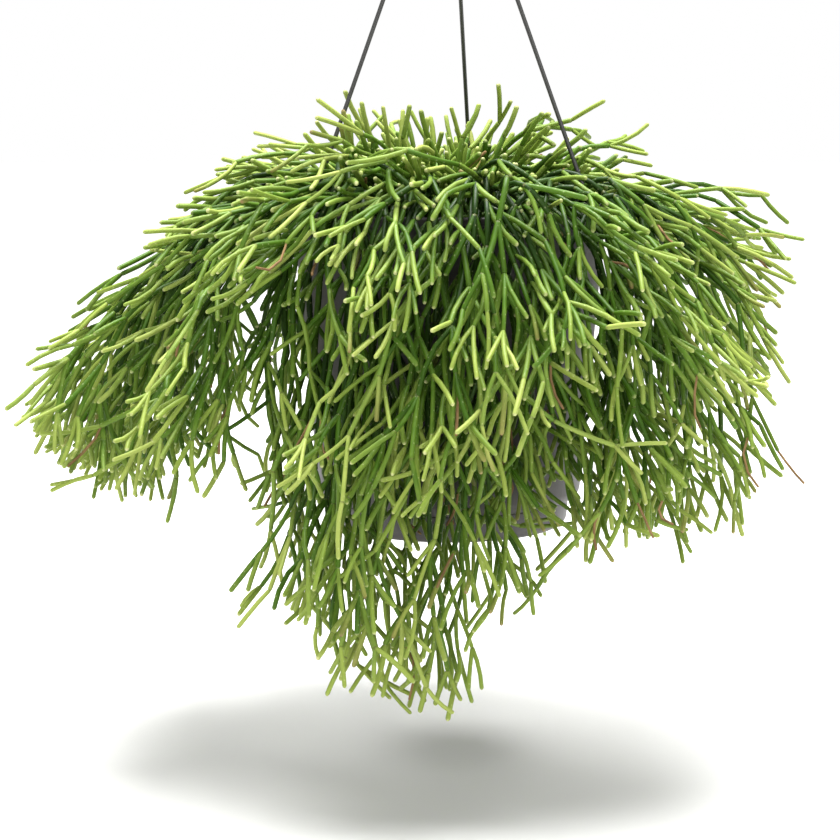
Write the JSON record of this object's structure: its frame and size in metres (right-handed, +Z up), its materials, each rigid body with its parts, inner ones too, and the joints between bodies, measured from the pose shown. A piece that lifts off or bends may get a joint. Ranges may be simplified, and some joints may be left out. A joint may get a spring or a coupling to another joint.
{
  "type": "mistletoe cactus in a hanging pot",
  "caption": "Mistletoe cactus with jointed round stems that arch over and trail from a tapered plastic hanging pot with a drip saucer, hung on strands from a hook.",
  "frame": {"origin": "the highest point of the inside of the hook's bend, where it bears on its support, on the pot's axis", "axes": "+Z up along the pot's axis, the plant's front faces -Y, +X to the right as seen from the front"},
  "size_m": [0.4452, 0.4247, 0.5324],
  "materials": {
    "pot_plastic": "satin",
    "hanger_plastic": "satin",
    "potting_soil": "matte",
    "stem_dark": "satin",
    "stem_mid": "satin",
    "stem_light": "satin"
  },
  "bodies": {
    "root": {"pot": "pot_plastic", "drip_saucer": "pot_plastic", "potting_soil": "potting_soil", "hanger_hook": "hanger_plastic", "hanger_strand_left": "hanger_plastic", "hanger_strand_right": "hanger_plastic", "hanger_strand_back": "hanger_plastic", "spray_01": "stem_mid", "spray_02": "stem_light", "spray_03": "stem_dark", "spray_04": "stem_mid", "spray_05": "stem_light", "spray_06": "stem_dark", "spray_07": "stem_mid", "spray_08": "stem_light", "spray_09": "stem_dark", "spray_10": "stem_mid", "spray_11": "stem_light", "spray_12": "stem_dark", "spray_13": "stem_mid", "spray_14": "stem_light", "spray_15": "stem_dark", "spray_16": "stem_mid", "spray_17": "stem_light", "spray_18": "stem_dark", "spray_19": "stem_mid", "spray_20": "stem_light", "spray_21": "stem_dark", "spray_22": "stem_mid", "spray_23": "stem_light", "spray_24": "stem_dark", "spray_25": "stem_mid", "spray_26": "stem_light", "spray_27": "stem_dark", "spray_28": "stem_mid", "spray_29": "stem_light", "spray_30": "stem_dark", "spray_31": "stem_mid", "spray_32": "stem_light", "spray_33": "stem_dark", "spray_34": "stem_mid", "spray_35": "stem_light", "spray_36": "stem_dark", "spray_37": "stem_mid", "spray_38": "stem_light", "spray_39": "stem_dark", "spray_40": "stem_mid", "spray_41": "stem_light", "spray_42": "stem_dark", "spray_43": "stem_mid", "spray_44": "stem_light", "spray_45": "stem_dark", "spray_46": "stem_mid", "spray_47": "stem_light", "spray_48": "stem_dark", "spray_49": "stem_mid", "spray_50": "stem_light"}
  },
  "joints": []
}
